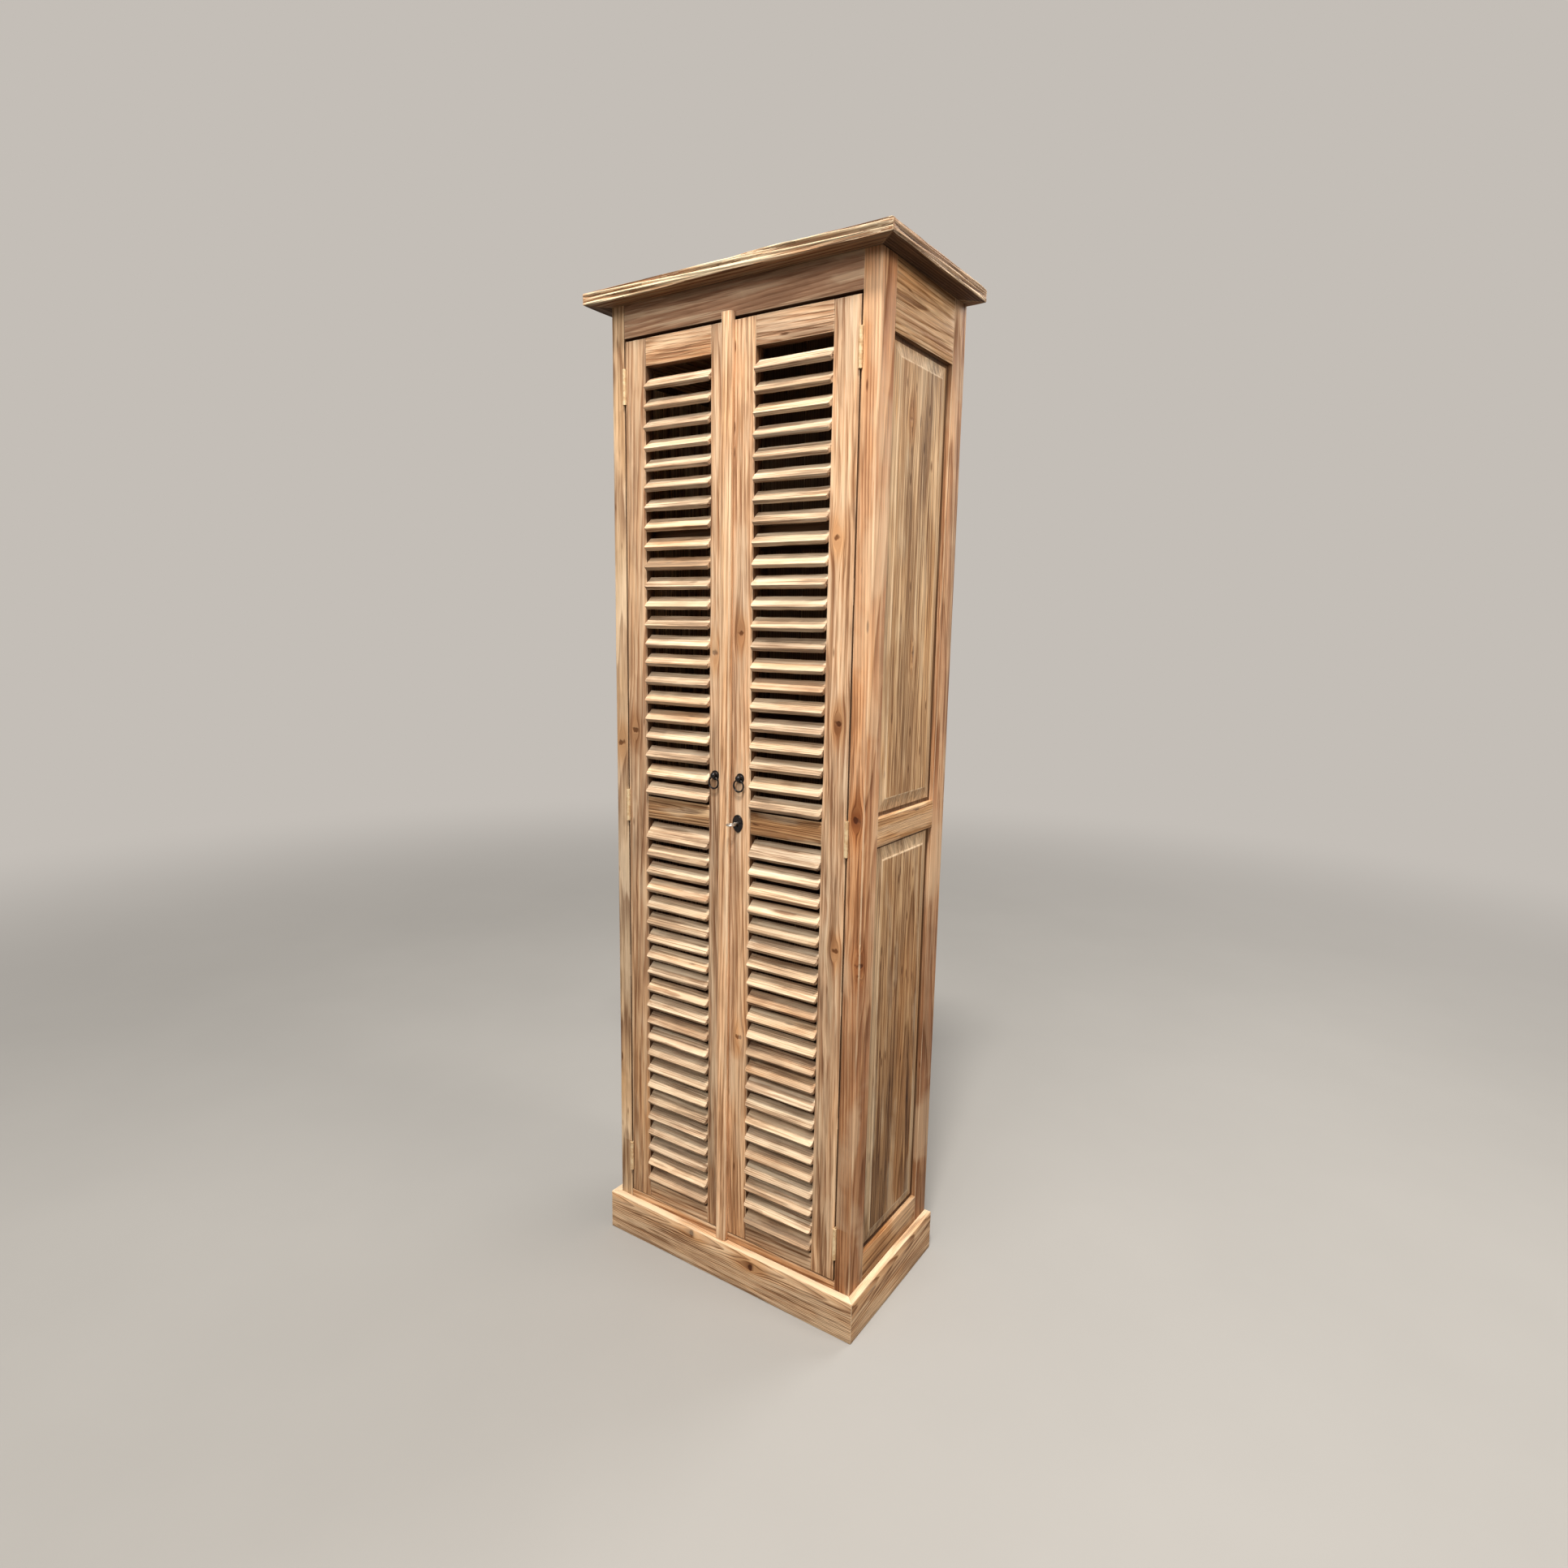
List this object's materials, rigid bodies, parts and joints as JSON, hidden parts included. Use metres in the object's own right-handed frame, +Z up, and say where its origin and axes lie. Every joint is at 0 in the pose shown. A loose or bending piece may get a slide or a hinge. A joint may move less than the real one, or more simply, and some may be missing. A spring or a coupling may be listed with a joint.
{
  "type": "louvred door cabinet",
  "caption": "Tall narrow wooden cabinet with a pair of louvred doors, framed panel sides, an overhanging top board and a plinth.",
  "frame": {"origin": "middle of the outer box's footprint, on the floor", "axes": "+Z up, +X to the viewer's right when facing the doors, the doors face -Y"},
  "size_m": [0.71, 0.4, 2.1],
  "materials": {
    "teak": "oiled reclaimed teak, satin",
    "side_teak": "oiled reclaimed teak, satin",
    "louvre_teak": "oiled reclaimed teak, satin",
    "cornice_teak": "oiled reclaimed teak, satin",
    "plinth_teak": "oiled reclaimed teak, satin",
    "inner_teak": "bare teak, dull",
    "black_iron": "black, semi-gloss",
    "brass": "pale brass, satin",
    "steel": "plain steel, satin"
  },
  "bodies": {
    "carcase": {"cornice_board": "cornice_teak", "front_left_post": "teak", "front_right_post": "teak", "back_left_post": "teak", "back_right_post": "teak", "front_top_rail": "teak", "left_side_bottom_rail": "side_teak", "left_side_mid_rail": "side_teak", "left_side_top_rail": "side_teak", "left_side_lower_panel": "side_teak", "left_side_upper_panel": "side_teak", "right_side_bottom_rail": "side_teak", "right_side_mid_rail": "side_teak", "right_side_top_rail": "side_teak", "right_side_lower_panel": "side_teak", "right_side_upper_panel": "side_teak", "plinth_front": "plinth_teak", "plinth_left": "plinth_teak", "plinth_right": "plinth_teak", "back_panel": "inner_teak", "floor_board": "inner_teak", "shelf_1": "inner_teak", "shelf_2": "inner_teak", "shelf_3": "inner_teak", "shelf_4": "inner_teak", "left_bottom_hinge_frame_leaf": "brass", "left_middle_hinge_frame_leaf": "brass", "left_top_hinge_frame_leaf": "brass", "right_bottom_hinge_frame_leaf": "brass", "right_middle_hinge_frame_leaf": "brass", "right_top_hinge_frame_leaf": "brass"},
    "left_door": {"left_door_outer_stile": "teak", "left_door_inner_stile": "teak", "left_door_bottom_rail": "teak", "left_door_mid_rail": "teak", "left_door_top_rail": "teak", "left_door_lower_louvres": "louvre_teak", "left_door_upper_louvres": "louvre_teak", "left_bottom_hinge_door_leaf": "brass", "left_middle_hinge_door_leaf": "brass", "left_top_hinge_door_leaf": "brass", "left_pull_knob": "black_iron"},
    "right_door": {"right_door_outer_stile": "teak", "right_door_inner_stile": "teak", "right_door_bottom_rail": "teak", "right_door_mid_rail": "teak", "right_door_top_rail": "teak", "right_door_lower_louvres": "louvre_teak", "right_door_upper_louvres": "louvre_teak", "right_bottom_hinge_door_leaf": "brass", "right_middle_hinge_door_leaf": "brass", "right_top_hinge_door_leaf": "brass", "right_pull_knob": "black_iron", "cover_strip": "teak", "key_escutcheon": "black_iron", "lock_case": "steel"},
    "left_ring": {"left_pull_ring": "black_iron"},
    "right_ring": {"right_pull_ring": "black_iron"},
    "key": {"key": "steel"},
    "lock_bolt": {"lock_bolt": "steel"}
  },
  "joints": [
    {"name": "left_door_swing", "type": "hinge", "parent": "carcase", "child": "left_door", "pos_m": [-0.2785, -0.1605, 1.042], "axis": [0, 0, -1], "range_deg": [0, 165]},
    {"name": "right_door_swing", "type": "hinge", "parent": "carcase", "child": "right_door", "pos_m": [0.2785, -0.1605, 1.042], "axis": [0, 0, 1], "range_deg": [0, 165]},
    {"name": "left_ring_swing", "type": "hinge", "parent": "left_door", "child": "left_ring", "pos_m": [-0.037, -0.165, 1.13], "axis": [-1, 0, 0], "range_deg": [-8, 150]},
    {"name": "right_ring_swing", "type": "hinge", "parent": "right_door", "child": "right_ring", "pos_m": [0.027, -0.165, 1.13], "axis": [-1, 0, 0], "range_deg": [-8, 150]},
    {"name": "key_turn", "type": "hinge", "parent": "right_door", "child": "key", "pos_m": [0.022, -0.15, 1.04], "axis": [0, 1, 0], "range_deg": [0, 90]},
    {"name": "bolt_slide", "type": "slide", "parent": "right_door", "child": "lock_bolt", "axis": [-1, 0, 0], "range_m": [0, 0.015]}
  ],
  "couplings": [
    {"joint": "bolt_slide", "follows": "key_turn", "m_per_rad": 0.0089127}
  ]
}
